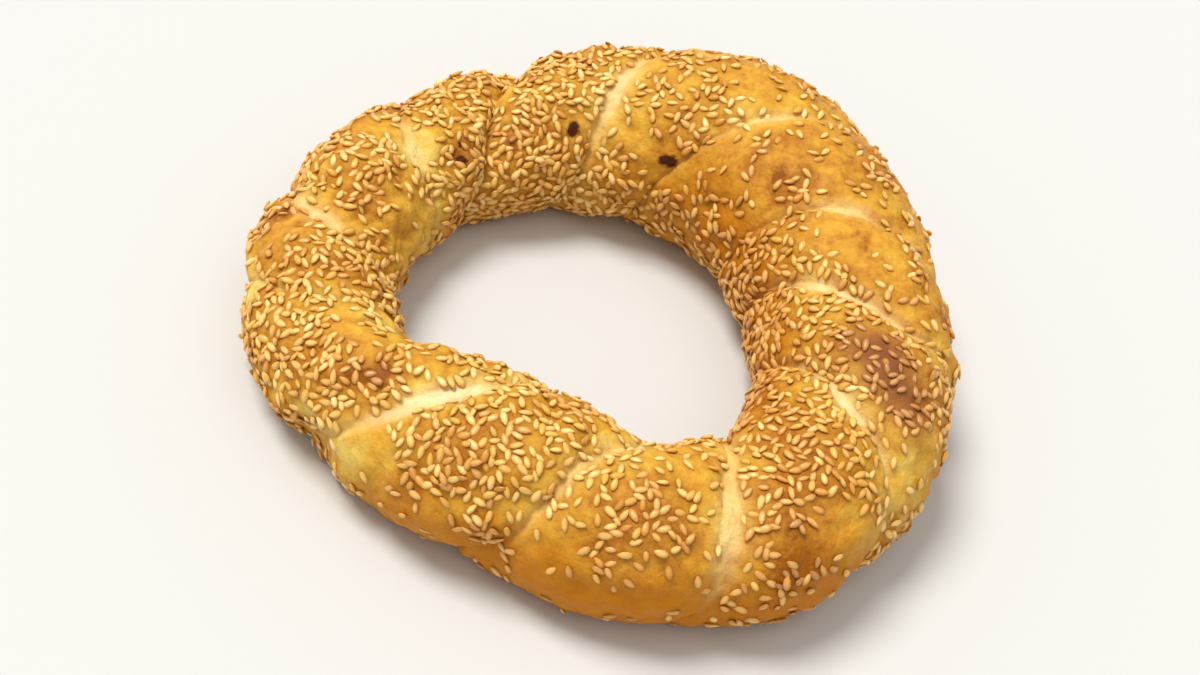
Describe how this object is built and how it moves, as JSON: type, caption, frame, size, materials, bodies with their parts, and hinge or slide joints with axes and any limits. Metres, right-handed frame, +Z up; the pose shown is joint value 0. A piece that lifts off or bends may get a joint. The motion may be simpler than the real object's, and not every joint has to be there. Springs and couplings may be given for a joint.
{
  "type": "simit",
  "caption": "Ring of bread baked from two twisted ropes of dough, with a browned crust, paler seams and sesame seed all over except underneath.",
  "frame": {"origin": "the middle of the bounding box, on the flat underside that lies on the tray", "axes": "+Z up, out of the ring's plane; -Y towards the side nearest in the picture, +X to its right"},
  "size_m": [0.1548, 0.1537, 0.0413],
  "materials": {
    "crust": "satin",
    "sesame": "satin"
  },
  "bodies": {
    "root": {"simit": "crust"}
  },
  "joints": []
}
